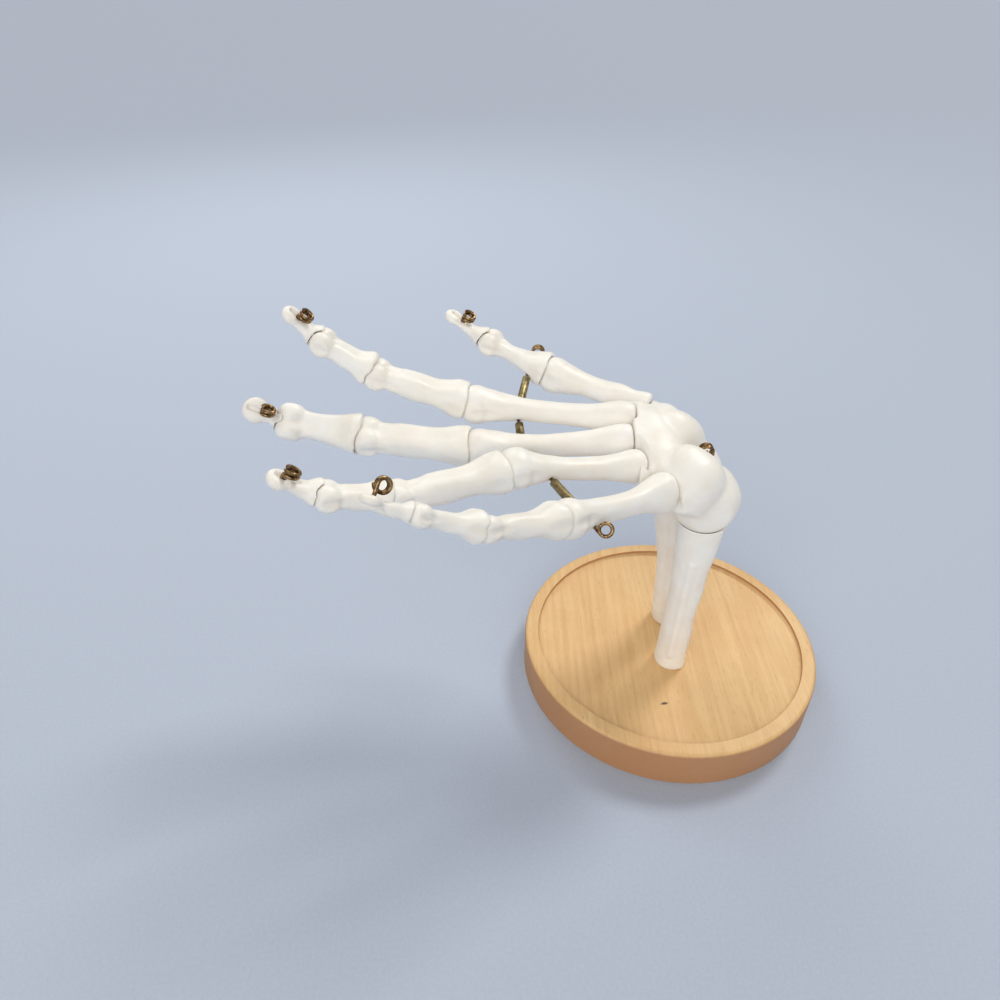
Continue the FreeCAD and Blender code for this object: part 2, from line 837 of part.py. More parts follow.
def carpal_block():
    body = new_body("carpal_block")
    sketch = closed_sketch(body, "knuckle_outline", "XY_Plane", knuckle_outline(0, None))
    turned(body, "knuckles", "Revolution", sketch)
    middle, row = root_middle()
    slant = math.degrees(math.atan2(row.z, row.y))
    end_half = size("little_metacarpal_base_breadth") / 2
    half = end_half + row.Length / 2
    depth = size("index_metacarpal_base_breadth") / 2 * CARPAL_EDGE_SHARE
    sections = []
    for index, (place, shift, rise, breadth, thickness, lean) in enumerate(CARPAL_SHARES):
        outline = oval(half * breadth, depth * thickness, depth * thickness)
        spot = Vector(middle.y * shift, middle.z * rise, middle.x * place)
        offset = Placement(spot, Rotation(Z_AXIS, slant * lean))
        sections.append(closed_sketch(body, f"carpal_section_{index}", "YZ_Plane", outline, offset))
    loft(body, "carpal_row", sections)
    for name in ("far_dome", "near_dome", "root_dome"):
        add_dome(body, name)
    body.Placement = wrist_frame()
    return body


def root_cutters():
    """A flat seat and a wire bore for each metacarpal."""
    cutters = []
    for digit in DIGITS:
        bone = f"{digit}_metacarpal"
        frame = FRAMES[bone]
        base_and_waist = (size(f"{bone}_base_breadth"), size(f"{bone}_waist_breadth"))
        breadth = max(base_and_waist, key=value_of)
        gap = number("seam_gap")
        seat = doc.addObject("Part::Box", f"{digit}_seat")
        seat.setExpression("Length", (breadth * 2).text)
        seat.setExpression("Width", (breadth + size("seam_gap") * 2).text)
        seat.setExpression("Height", (breadth * 2).text)
        corner = Vector(-gap, -breadth.value / 2 - gap, -breadth.value)
        seat.Placement = frame * Placement(corner, Rotation())
        bore = doc.addObject("Part::Cylinder", f"{digit}_root_bore")
        bore.setExpression("Radius", size("bore_radius").text)
        depth = size("wire_root_depth") + size("seam_gap")
        bore.setExpression("Height", (depth + size("cut_overrun")).text)
        bore.Placement = frame * Placement(Vector(-depth.value, 0, 0), Rotation(Z_AXIS, X_AXIS))
        cutters += [seat, bore]
    return cutters


def wrist_eye_frame():
    """Where the small eye stands in the valley between the wrist's two lumps."""
    spot = Vector(number("wrist_eye_forward"), 0, number("knuckle_waist_radius"))
    return Placement(wrist_frame().Base + spot, Rotation())


def wrist_wire():
    start = Vector(0, 0, -number("wrist_eye_depth"))
    finish = Vector(0, 0, number("wrist_eye_stem"))
    route = [(start, finish), *coil(finish, Z_AXIS, -Y_AXIS, -number("eye_pitch"))]
    print_least_gap("wrist_wire", route)
    return wire_feature("wrist_wire", route, number("wire_radius"), wrist_eye_frame())


def wrist_bore():
    bore = doc.addObject("Part::Cylinder", "wrist_wire_bore")
    bore.setExpression("Radius", size("bore_radius").text)
    depth = size("wrist_eye_depth") + size("seam_gap")
    bore.setExpression("Height", (depth + size("cut_overrun") * 2).text)
    bore.Placement = wrist_eye_frame() * Placement(Vector(0, 0, -depth.value), Rotation())
    return bore


# The forearm and the stand


def floor_height():
    return size("base_thickness") - size("recess_depth")


def forearm_bone(name, across, foot_back, head_back, shares):
    body = new_body(name)
    bone = name.split("_")[0]
    breadth = size(f"{bone}_head_breadth")
    depth = size(f"{bone}_head_depth")
    floor = floor_height()
    rim = size("wrist_height") - size(f"{bone}_rim_drop")
    foot = size("foot_radius")
    sections = []
    for index, (place, shift, wider, deeper) in enumerate(shares):
        half = foot + (breadth / 2 - foot) * wider
        thick = foot + (depth / 2 - foot) * deeper
        outline = [((corner[1], corner[0]), (via[1], via[0])) for corner, via in oval(half, thick, thick)]
        height = floor + (rim - floor) * place
        forward = foot_back + (head_back - foot_back) * shift
        offset = Placement(Vector(forward.value, across.value, height.value), Rotation())
        sketch = closed_sketch(body, f"{name}_section_{index}", "XY_Plane", outline, offset, height)
        sections.append(sketch)
    loft(body, f"{name}_shaft", sections)
    cup = knuckle_outline(size("joint_gap"), size("cut_overrun"))
    offset = Placement(Vector(number("wrist_forward"), 0, number("wrist_height")), Rotation())
    sketch = closed_sketch(body, f"{name}_cup_outline", "XY_Plane", cup, offset)
    turned(body, f"{name}_cup", "Groove", sketch)
    shank = size("screw_shank_radius") + size("screw_clearance")
    spot = Vector(foot_back.value, across.value, 0)
    sketch = circle_sketch(body, f"{name}_pilot_circle", "XY_Plane", shank, Placement(spot, Rotation()))
    cut_forward(body, f"{name}_pilot", sketch, floor + size("screw_grip") + size("screw_clearance"))
    return body


def feet():
    return (
        ("ulna_stub", size("ulna_across"), size("ulna_foot_back")),
        ("radius_stub", size("radius_across"), size("radius_foot_back")),
    )


def screw_outline(grown, start, top):
    """Half section of a countersunk screw, or of the hole that it goes through."""
    head = size("screw_head_radius") + grown
    shank = size("screw_shank_radius") + grown
    seat = size("screw_recess")
    neck = seat + size("screw_head_height")
    outline = [((0, start), None), ((head, start), None)]
    if start is not seat:
        outline.append(((head, seat), None))
    return outline + [((shank, neck), None), ((shank, top), None), ((0, top), None)]


def base_disc():
    body = new_body("base_disc")
    edge = size("base_radius")
    bevel = size("base_bottom_bevel")
    top = size("base_thickness")
    round_edge = size("base_top_round")
    bend_share = 1 - math.sqrt(0.5)
    inner = edge - size("rim_breadth")
    floor = floor_height()
    corner = size("recess_corner_radius")
    crown = (edge - round_edge * bend_share, top - round_edge * bend_share)
    hollow = (inner - corner * bend_share, floor + corner * bend_share)
    outline = [
        ((0, 0), None),
        ((edge - bevel, 0), None),
        ((edge, bevel), None),
        ((edge, top - round_edge), crown),
        ((edge - round_edge, top), None),
        ((inner, top), None),
        ((inner, floor + corner), hollow),
        ((inner - corner, floor), None),
        ((0, floor), None),
    ]
    sketch = closed_sketch(body, "disc_outline", "XZ_Plane", outline)
    turned(body, "disc", "Revolution", sketch)
    for name, across, back in feet():
        hole = screw_outline(size("screw_clearance"), -size("cut_overrun"), top)
        offset = Placement(Vector(back.value, 0, -across.value), Rotation())
        sketch = closed_sketch(body, f"{name}_hole_outline", "XZ_Plane", hole, offset)
        turned(body, f"{name}_hole", "Groove", sketch)
    return body


def forearm_screws():
    """Two countersunk screws that hold the forearm bones from below."""
    screws = []
    for name, across, back in feet():
        body = new_body(f"{name}_screw")
        seat = size("screw_recess")
        outline = screw_outline(0, seat, floor_height() + size("screw_grip"))
        sketch = closed_sketch(body, f"{name}_screw_outline", "XZ_Plane", outline)
        turned(body, f"{name}_screw_solid", "Revolution", sketch)
        body.Placement = Placement(Vector(back.value, across.value, 0), Rotation())
        screws.append(body)
    group = doc.addObject("Part::Compound", "forearm_screw_pair")
    group.Links = screws
    return group


# The whole hand

NODES["base_disc"] = base_disc()
NODES["forearm_screws"] = forearm_screws()
NODES["ulna_stub"] = forearm_bone(*feet()[0], size("wrist_forward"), ULNA_SHARES)
NODES["radius_stub"] = forearm_bone(*feet()[1], size("radius_head_back"), RADIUS_SHARES)
for digit in DIGITS:
    make_digit(digit)

seats = doc.addObject("Part::Compound", "wrist_block_cutters")
seats.Links = [*root_cutters(), wrist_bore()]
NODES["carpal_block"] = cut_with("carpal_block", carpal_block(), seats)
NODES["wrist_wire"] = wrist_wire()

whole_bones = {bone: NODES[bone] for bone in CROSSING_SHARES}
crossing_bore = wire_feature("crossing_bore", crosswise_route(False), number("bore_radius"))
for bone in CROSSING_SHARES:
    NODES[bone] = cut_with(bone, NODES[bone], crossing_bore)
NODES["crosswise_wire"] = wire_feature("crosswise_wire", crosswise_route(True), number("wire_radius"))
doc.recompute()

crossed = list(CROSSING_SHARES)
places = crossing_points()
for index in range(len(crossed) - 1):
    near, far = crossed[index], crossed[index + 1]
    name = f"{near.split('_')[0]}_{far.split('_')[0]}_spacer"
    NODES[name] = spacer(name, places[index], places[index + 1], whole_bones[near], whole_bones[far])
for bone in FRAMES:
    digit, part = bone.split("_")
    if part == "distal":
        NODES[f"{digit}_tip_wire"] = tip_wire(bone)
    else:
        NODES[f"{bone}_wire"] = core_wire(bone)
doc.recompute()

# Checks and files

for item in doc.Objects:
    if "Invalid" in item.State or "Error" in item.State:
        raise RuntimeError(f"{item.Name}: {item.State}")
    if item.TypeId in ("PartDesign::Pocket", "PartDesign::Groove"):
        if item.Shape.Volume >= item.BaseFeature.Shape.Volume:
            raise RuntimeError(f"{item.Name} cuts nothing")
for name, item in NODES.items():
    item.Label = name
    if item.Shape.isNull() or not item.Shape.isValid():
        raise RuntimeError(f"{name} has no valid shape")
    solids = len(item.Shape.Solids)
    print(f"{name}: {solids} solid, {item.Shape.Volume:.1f} mm3")

os.makedirs("parts", exist_ok=True)
for name, item in NODES.items():
    item.Shape.exportStep(f"parts/{name}.step")
for bone, (place, axis) in HINGES.items():
    at = ", ".join(f"{value:.3f}" for value in place)
    about = ", ".join(f"{value:.5f}" for value in axis)
    print(f"{bone} hinge at ({at}) about ({about})")
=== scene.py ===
"""Looks of the skeleton hand jewelry holder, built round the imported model."""

import json
import math

import bmesh
import bpy
import numpy as np
from mathutils import Matrix, Vector, noise

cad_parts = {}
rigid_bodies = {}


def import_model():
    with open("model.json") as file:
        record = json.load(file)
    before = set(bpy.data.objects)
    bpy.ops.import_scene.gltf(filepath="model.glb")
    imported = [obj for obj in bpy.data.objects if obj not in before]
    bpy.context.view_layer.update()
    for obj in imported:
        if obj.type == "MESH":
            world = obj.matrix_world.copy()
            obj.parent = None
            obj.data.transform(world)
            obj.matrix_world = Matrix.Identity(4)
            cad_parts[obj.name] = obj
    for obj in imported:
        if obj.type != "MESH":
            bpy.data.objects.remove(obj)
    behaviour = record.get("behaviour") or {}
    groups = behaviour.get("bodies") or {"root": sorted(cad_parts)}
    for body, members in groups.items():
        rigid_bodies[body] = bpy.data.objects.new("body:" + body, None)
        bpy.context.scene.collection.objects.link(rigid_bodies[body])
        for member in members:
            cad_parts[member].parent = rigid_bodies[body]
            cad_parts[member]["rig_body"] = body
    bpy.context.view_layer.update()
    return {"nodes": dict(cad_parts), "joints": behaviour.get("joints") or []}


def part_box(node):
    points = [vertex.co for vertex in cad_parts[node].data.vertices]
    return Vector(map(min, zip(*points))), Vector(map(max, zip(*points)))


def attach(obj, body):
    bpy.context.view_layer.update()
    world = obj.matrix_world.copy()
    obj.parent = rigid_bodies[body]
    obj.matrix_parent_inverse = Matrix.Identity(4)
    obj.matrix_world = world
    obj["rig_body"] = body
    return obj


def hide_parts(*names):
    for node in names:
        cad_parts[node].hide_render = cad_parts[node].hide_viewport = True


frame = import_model()
MM = 0.001

# Camera: the photograph's own angle, solved from the wooden disc's outline

CAMERA_PLACE = Vector((-71.2, -220.7, 246.5)) * MM
CAMERA_PITCH = 0.628
CAMERA_ROLL = -0.0082
FOCAL_SHARE = 0.7406

camera = bpy.data.objects.new("camera", bpy.data.cameras.new("camera"))
bpy.context.scene.collection.objects.link(camera)
bpy.context.scene.camera = camera
camera.data.lens = camera.data.sensor_width * FOCAL_SHARE
camera.data.clip_start = 0.01
turn = Matrix.Rotation(math.pi / 2 - CAMERA_PITCH, 4, "X") @ Matrix.Rotation(-CAMERA_ROLL, 4, "Z")
camera.matrix_world = Matrix.Translation(CAMERA_PLACE) @ turn


# Materials


def linear(colour):
    """The linear colour of an sRGB hex value."""
    parts = [int(colour[i : i + 2], 16) / 255 for i in (1, 3, 5)]
    return [p / 12.92 if p <= 0.04045 else ((p + 0.055) / 1.055) ** 2.4 for p in parts] + [1]


def add(tree, kind, sockets=None, stops=None, **settings):
    """Adds a node: sockets holds values or the outputs that feed it, and stops a ramp's colours."""
    made = tree.nodes.new(kind)
    for name, value in settings.items():
        setattr(made, name, value)
    for name, value in (sockets or {}).items():
        if isinstance(value, bpy.types.NodeSocket):
            tree.links.new(value, made.inputs[name])
        else:
            made.inputs[name].default_value = value
    if stops:
        ramp = made.color_ramp.elements
        while len(ramp) < len(stops):
            ramp.new(1)
        for element, (place, colour) in zip(ramp, stops):
            element.position = place
            element.color = linear(colour)
    return made


def new_material(name):
    """A material with its shader, its tree and the piece's own coordinates."""
    material = bpy.data.materials.new(name)
    material.use_nodes = True
    tree = material.node_tree
    tree.nodes.clear()
    shader = add(tree, "ShaderNodeBsdfPrincipled")
    add(tree, "ShaderNodeOutputMaterial", {"Surface": shader.outputs[0]})
    place = add(tree, "ShaderNodeTexCoord").outputs["Object"]
    return material, tree, shader, place


def moulded_pvc():
    """Moulded PVC, off a buffed mould: warm white, satin, with faint clouds in the colour and a
    slightly wavy skin. Light sinks a little way in and softens the undersides."""
    material, tree, shader, place = new_material("moulded_pvc_bone_white")
    # Clouds about 11 mm across
    clouds = add(
        tree,
        "ShaderNodeTexNoise",
        {"Vector": place, "Scale": 90, "Detail": 4, "Roughness": 0.6},
    )
    colour = add(
        tree,
        "ShaderNodeValToRGB",
        {"Fac": clouds.outputs["Fac"]},
        stops=[(0.3, "#f2ede3"), (0.52, "#f6f3ec"), (0.75, "#faf9f5")],
    )
    # Ripples 3 mm apart in the mould, and a fine grain drawn at 0.5 mm so that it shows
    ripples = add(tree, "ShaderNodeTexNoise", {"Vector": place, "Scale": 330, "Detail": 2})
    grain = add(tree, "ShaderNodeTexNoise", {"Vector": place, "Scale": 2000, "Detail": 2})
    soft = add(
        tree,
        "ShaderNodeBump",
        {"Height": ripples.outputs["Fac"], "Strength": 0.25, "Distance": 0.3 * MM},
    )
    fine = add(
        tree,
        "ShaderNodeBump",
        {"Height": grain.outputs["Fac"], "Strength": 0.15, "Distance": 0.05 * MM, "Normal": soft.outputs[0]},
    )
    gloss = add(
        tree,
        "ShaderNodeMapRange",
        {"Value": ripples.outputs["Fac"], "To Min": 0.36, "To Max": 0.5},
    )
    tree.links.new(colour.outputs[0], shader.inputs["Base Color"])
    tree.links.new(gloss.outputs[0], shader.inputs["Roughness"])
    tree.links.new(fine.outputs[0], shader.inputs["Normal"])
    shader.inputs["IOR"].default_value = 1.53
    shader.inputs["Subsurface Weight"].default_value = 0.18
    shader.inputs["Subsurface Radius"].default_value = (1, 0.75, 0.55)
    shader.inputs["Subsurface Scale"].default_value = 1.5 * MM
    return material


def turned_beech(knot_place):
    """Turned beech under a thin matt lacquer: honey coloured and nearly plain, with faint straight
    growth lines from front to back, soft patches, fine pores and one small dark knot on top."""
    material, tree, shader, place = new_material("turned_beech_lacquered")
    # Soft patches about 30 mm across
    patches = add(tree, "ShaderNodeTexNoise", {"Vector": place, "Scale": 34, "Detail": 3})
    broad = add(
        tree,
        "ShaderNodeValToRGB",
        {"Fac": patches.outputs["Fac"]},
        stops=[(0.32, "#d6ab73"), (0.5, "#dfb77f"), (0.7, "#e7c48d")],
    )
    # Growth lines about 2 mm apart run along the depth, so the pattern is stretched that way
    stretched = add(
        tree,
        "ShaderNodeMapping",
        {"Vector": place, "Scale": (1, 0.035, 1), "Rotation": (0, 0, math.radians(3))},
    )
    growth = add(
        tree,
        "ShaderNodeTexNoise",
        {"Vector": stretched.outputs[0], "Scale": 480, "Detail": 4, "Roughness": 0.6},
    )
    lines = add(
        tree,
        "ShaderNodeValToRGB",
        {"Fac": growth.outputs["Fac"]},
        stops=[(0.34, "#ce9e65"), (0.52, "#deb57d"), (0.68, "#e7c591")],
    )
    both = add(
        tree,
        "ShaderNodeMix",
        {0: 0.42, 6: broad.outputs[0], 7: lines.outputs[0]},
        data_type="RGBA",
    )
    # Pores a tenth of a millimetre wide, drawn at 0.4 mm so that they show
    thin = add(tree, "ShaderNodeMapping", {"Vector": place, "Scale": (1, 0.12, 0.4)})
    pores = add(tree, "ShaderNodeTexNoise", {"Vector": thin.outputs[0], "Scale": 2400, "Detail": 2})
    marks = add(
        tree,
        "ShaderNodeMapRange",
        {"Value": pores.outputs["Fac"], "From Min": 0.6, "From Max": 0.78, "To Max": 0.45},
    )
    flecked = add(
        tree,
        "ShaderNodeMix",
        {0: marks.outputs[0], 6: both.outputs[2], 7: linear("#b07f4d")},
        data_type="RGBA",
    )
    # The knot is a dark sliver 3 mm long
    knot = add(
        tree,
        "ShaderNodeMapping",
        {
            "Vector": place,
            "Location": knot_place,
            "Rotation": (0, 0, math.radians(12)),
            "Scale": (2, 0.8, 1),
        },
        vector_type="TEXTURE",
    )
    away = add(tree, "ShaderNodeVectorMath", {0: knot.outputs[0]}, operation="LENGTH")
    ragged = add(tree, "ShaderNodeTexNoise", {"Vector": place, "Scale": 1500})
    edge = add(
        tree,
        "ShaderNodeMath",
        {0: ragged.outputs["Fac"], 1: 0.8 * MM, 2: away.outputs["Value"]},
        operation="MULTIPLY_ADD",
    )
    dark = add(
        tree,
        "ShaderNodeMapRange",
        {
            "Value": edge.outputs[0],
            "From Min": 0.9 * MM,
            "From Max": 1.3 * MM,
            "To Min": 0.95,
            "To Max": 0,
        },
    )
    knotted = add(
        tree,
        "ShaderNodeMix",
        {0: dark.outputs[0], 6: flecked.outputs[2], 7: linear("#3b2413")},
        data_type="RGBA",
    )
    # Painted shade: the turned wall is painted darker and redder than the lit top, where it faces sideways
    facing = add(tree, "ShaderNodeSeparateXYZ", {0: add(tree, "ShaderNodeNewGeometry").outputs["Normal"]})
    upright = add(tree, "ShaderNodeMath", {0: facing.outputs["Z"]}, operation="ABSOLUTE")
    painted_wall_shade = add(
        tree,
        "ShaderNodeMapRange",
        {
            "Value": upright.outputs[0],
            "From Min": 0.25,
            "From Max": 0.75,
            "To Min": 0.8,
            "To Max": 0,
        },
    )
    # The painted shade's darker, redder colour goes onto the upright wall
    whole = add(
        tree,
        "ShaderNodeMix",
        {0: painted_wall_shade.outputs[0], 6: knotted.outputs[2], 7: linear("#ad7751")},
        data_type="RGBA",
    )
    grain = add(
        tree,
        "ShaderNodeBump",
        {"Height": pores.outputs["Fac"], "Strength": 0.2, "Distance": 0.08 * MM},
    )
    gloss = add(
        tree,
        "ShaderNodeMapRange",
        {"Value": growth.outputs["Fac"], "To Min": 0.42, "To Max": 0.56},
    )
    tree.links.new(whole.outputs[2], shader.inputs["Base Color"])
    tree.links.new(gloss.outputs[0], shader.inputs["Roughness"])
    tree.links.new(grain.outputs[0], shader.inputs["Normal"])
    shader.inputs["IOR"].default_value = 1.5
    return material


def aged_metal(name, dull, bright, roughness, patch_size):
    """A metal that the air has dulled in patches, brighter between them."""
    material, tree, shader, place = new_material(name)
    patches = add(tree, "ShaderNodeTexNoise", {"Vector": place, "Scale": 1 / patch_size, "Detail": 4})
    colour = add(
        tree,
        "ShaderNodeValToRGB",
        {"Fac": patches.outputs["Fac"]},
        stops=[(0.36, dull), (0.66, bright)],
    )
    rough = add(
        tree,
        "ShaderNodeMapRange",
        {
            "Value": patches.outputs["Fac"],
            "To Min": roughness + 0.12,
            "To Max": roughness - 0.08,
        },
    )
    # Fine unevenness about 0.4 mm across, a guess, which breaks up the highlights
    scratches = add(tree, "ShaderNodeTexNoise", {"Vector": place, "Scale": 2600, "Detail": 1})
    bump = add(
        tree,
        "ShaderNodeBump",
        {"Height": scratches.outputs["Fac"], "Strength": 0.2, "Distance": 0.03 * MM},
    )
    tree.links.new(colour.outputs[0], shader.inputs["Base Color"])
    tree.links.new(rough.outputs[0], shader.inputs["Roughness"])
    tree.links.new(bump.outputs[0], shader.inputs["Normal"])
    shader.inputs["Metallic"].default_value = 1
    return material


# The knot shows in the floor of the disc's recess
RECESS_DEPTH = 1.8 * MM
disc_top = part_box("base_disc")[1].z

bone_white = moulded_pvc()
beech = turned_beech((-7 * MM, -35 * MM, disc_top - RECESS_DEPTH))
# Brass tube and bronze wire, both left unpolished, and zinc plated screws
tube_brass = aged_metal("aged_brass_tube", "#6f6243", "#a8986c", 0.4, 2.2 * MM)
wire_bronze = aged_metal("darkened_bronze_wire", "#5c4730", "#b19167", 0.3, 1.1 * MM)
zinc = aged_metal("zinc_plated_steel", "#8e9092", "#b9bcbf", 0.35, 2 * MM)


# Helpers for pieces

BODY_OF = {node: piece["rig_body"] for node, piece in frame["nodes"].items()}
WELD = 0.002 * MM
SHARP_ANGLE = math.radians(35)


def copy_of(node, name):
    """A node's mesh as a new object of its own, with its loose triangles joined."""
    mesh = frame["nodes"][node].data.copy()
    mesh.materials.clear()
    for attribute in [a.name for a in mesh.attributes if a.name.startswith("custom_normal")]:
        mesh.attributes.remove(mesh.attributes[attribute])
    made = bpy.data.objects.new(name, mesh)
    bpy.context.scene.collection.objects.link(made)
    form = bmesh.new()
    form.from_mesh(mesh)
    bmesh.ops.remove_doubles(form, verts=form.verts, dist=WELD)
    form.to_mesh(mesh)
    form.free()
    return made


def settle(piece):
    """Turns a piece's modifiers into its mesh."""
    graph = bpy.context.evaluated_depsgraph_get()
    mesh = bpy.data.meshes.new_from_object(piece.evaluated_get(graph))
    piece.modifiers.clear()
    piece.data = mesh


def finish_piece(piece, node, material):
    """Gives a piece its finish and its body, and hides the node that it stands for."""
    piece.data.materials.clear()
    piece.data.materials.append(material)
    piece.data.shade_smooth()
    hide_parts(node)
    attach(piece, BODY_OF[node])


def remeshed(node, name, voxel, rounds):
    """A node's form in one skin of even faces, with its hard edges eased as a mould leaves them."""
    piece = copy_of(node, name)
    skin = piece.modifiers.new("skin", "REMESH")
    skin.mode = "VOXEL"
    skin.voxel_size = voxel
    ease = piece.modifiers.new("ease", "SMOOTH")
    ease.factor = 0.5
    ease.iterations = rounds
    settle(piece)
    return piece


class Bone:
    """A bone's skin, with its own directions: along it, across it and towards the palm."""

    def __init__(self, piece, near, far, across):
        self.mesh = piece.data
        self.skin = np.empty(len(self.mesh.vertices) * 3)
        self.mesh.vertices.foreach_get("co", self.skin)
        self.skin = self.skin.reshape(-1, 3)
        self.out = np.empty(self.skin.size)
        self.mesh.vertex_normals.foreach_get("vector", self.out)
        self.out = self.out.reshape(-1, 3)
        self.near = near
        self.length = (far - near).length
        self.along = (far - near).normalized()
        self.palm = self.along.cross(across).normalized()
        if self.palm.z < 0:
            self.palm = -self.palm
        self.across = self.palm.cross(self.along).normalized()

    def at(self, along, across, palm):
        """A point at a share of the length, moved across and towards the palm by millimetres."""
        aside = self.across * across + self.palm * palm
        return self.near + self.along * (along * self.length) + aside * MM

    def press(self, shares, towards, depth):
        """Moves the skin that faces a direction, most where the share is 0 and none where it is 1."""
        inside = np.clip(1 - shares**2, 0, 1) ** 2
        # Skin nearly edge on to the direction stays, and skin within 53 degrees of it moves in full
        facing = np.clip(2 * (self.out @ towards) - 0.2, 0, 1)
        self.skin -= np.outer(inside * facing * depth * MM, towards)

    def hollow(self, spot, towards, long_size, wide_size, depth):
        """An oval hollow, or a swelling where the depth is negative, on the side that faces a way."""
        offset = (self.skin - np.array(spot)) / MM
        wide_way = towards.cross(self.along).normalized()
        shares = np.hypot(offset @ self.along / long_size, offset @ wide_way / wide_size)
        self.press(shares, towards, np.where(offset @ towards > 0, depth, 0))

    def channel(self, start, finish, towards, width, depth):
        """A groove along a line, or a ridge where the depth is negative."""
        line = np.array(finish - start)
        offset = self.skin - np.array(start)
        place = np.clip(offset @ line / (line @ line), 0, 1)
        gap = offset - np.outer(place, line)
        gap -= np.outer(gap @ towards, towards)
        self.press(np.linalg.norm(gap, axis=1) / (width * MM), towards, depth)

    def unevenness(self, span, height, seed):
        """Low swells, as a cast from a real bone has."""
        shift = Vector((seed, seed * 2.7, -seed))
        swells = [noise.noise(Vector(point) / (span * MM) + shift) for point in self.skin]
        self.skin += self.out * (np.array(swells) * height * MM)[:, None]

    def ease(self, spot, reach, rounds):
        """Smooths the skin round a spot, most at the spot itself."""
        links = np.empty(len(self.mesh.edges) * 2, dtype=np.int32)
        self.mesh.edges.foreach_get("vertices", links)
        first, second = links.reshape(-1, 2).T
        total = len(self.skin)
        neighbours = np.bincount(links, minlength=total)
        away = np.linalg.norm(self.skin - np.array(spot), axis=1) / (reach * MM)
        share = 0.5 * np.clip(1.3 - away, 0, 1)
        for _ in range(rounds):
            for way in range(3):
                line = self.skin[:, way]
                summed = np.bincount(first, line[second], total) + np.bincount(second, line[first], total)
                line += share * (summed / neighbours - line)

    def close(self):
        """Puts the skin back into the piece."""
        self.mesh.vertices.foreach_set("co", self.skin.ravel())
        self.mesh.update()


# Bones: each is the node's own form, remeshed, with the marks of a real bone pressed into it

JOINT_OF = {joint["child"].removesuffix("_bone"): joint for joint in frame["joints"]}
DIGITS = {
    "index": ("metacarpal", "proximal", "middle", "distal"),
    "middle": ("metacarpal", "proximal", "middle", "distal"),
    "ring": ("metacarpal", "proximal", "middle", "distal"),
    "little": ("metacarpal", "proximal", "middle", "distal"),
    "thumb": ("metacarpal", "proximal", "distal"),
}
# Face size of a remeshed skin, and how many rounds ease its edges
FINGER_SKIN = (0.36 * MM, 34)
WRIST_SKIN = (0.75 * MM, 20)
STUB_SKIN = (0.45 * MM, 7)
# How many of the furthest points give the middle of a bone's end
END_POINTS = 60

# A mark is: share of the length, offsets across and towards the palm as shares of the head's breadth,
# the sides that it is on, its size along and across as shares of that breadth, and its depth in mm.
# A negative depth is a swelling.
HEAD_PLACE = 0.95
SIDES = ("left", "right")
METACARPAL_MARKS = (
    (0.93, 0, -0.04, SIDES, 0.5, 0.2, 0.8),
    (0.84, 0, 0, ("palm",), 0.5, 0.4, 0.5),
    (0.84, 0, 0, ("back",), 0.5, 0.4, 0.6),
    (0.22, 0, 0.1, SIDES, 0.6, 0.35, 0.5),
)
PHALANX_MARKS = (
    (0.92, 0, -0.02, SIDES, 0.5, 0.19, 0.75),
    (0.88, 0, 0, ("palm",), 0.36, 0.24, 0.6),
    (0.88, 0, 0, ("back",), 0.3, 0.24, 0.4),
    (0.2, 0, -0.05, SIDES, 0.6, 0.26, 0.6),
)
DISTAL_MARKS = (
    (0.3, 0, 0, SIDES, 0.5, 0.5, 0.3),
    (0.18, 0, 0, ("palm",), 0.4, 0.5, -0.3),
    (0.72, 0, 0, ("back",), 0.6, 0.6, 0.3),
)
MARKS = {
    "metacarpal": METACARPAL_MARKS,
    "proximal": PHALANX_MARKS,
    "middle": PHALANX_MARKS,
    "distal": DISTAL_MARKS,
}
# The groove in the flat end of a finger, and the two low ridges along the palm side of a phalanx:
# where each starts and ends as shares of the length, where the breadth is read, the offset across and
# the width as shares of that breadth, and the depth in mm
TIP_GROOVE = (0.5, 0.86, 0.8, (0,), 0.16, 1.1)
PALM_RIDGES = (0.25, 0.72, 0.5, (-0.34, 0.34), 0.3, -0.45)
# Width and height of the low swells of each skin, in mm
FINGER_SWELLS = (6.5, 0.16)
WRIST_SKIN_SWELLS = (9, 0.35)
STUB_LARGE_SWELLS = (11, 0.45)
STUB_SMALL_SWELLS = (5, 0.14)


def far_end(piece, point):
    """The middle of the part of a piece that lies furthest from a point."""
    places = sorted((vertex.co for vertex in piece.data.vertices), key=lambda co: (co - point).length)
    return sum(places[-END_POINTS:], Vector()) / END_POINTS


def breadth_at(bone, place):
    """How broad a bone is at a share of its length."""
    level = place * bone.length
    offset = bone.skin - np.array(bone.near)
    ring = abs(offset @ bone.along - level) < MM
    return 2 * abs(offset[ring] @ bone.across).max() / MM


def mark(bone, marks):
    """Presses a table of marks into a bone."""
    breadth = breadth_at(bone, HEAD_PLACE)
    ways = {"left": bone.across, "right": -bone.across, "palm": bone.palm, "back": -bone.palm}
    for along, across, palm, sides, long_share, wide_share, depth in marks:
        spot = bone.at(along, across * breadth, palm * breadth)
        for side in sides:
            bone.hollow(spot, ways[side], long_share * breadth, wide_share * breadth, depth)


def score_palm(bone, line):
    """Draws a groove, or ridges, along the palm side of a bone."""
    start, finish, breadth_place, sides, width, depth = line
    breadth = breadth_at(bone, breadth_place)
    for side in sides:
        ends = [bone.at(place, side * breadth, 0) for place in (start, finish)]
        bone.channel(*ends, bone.palm, breadth * width, depth)


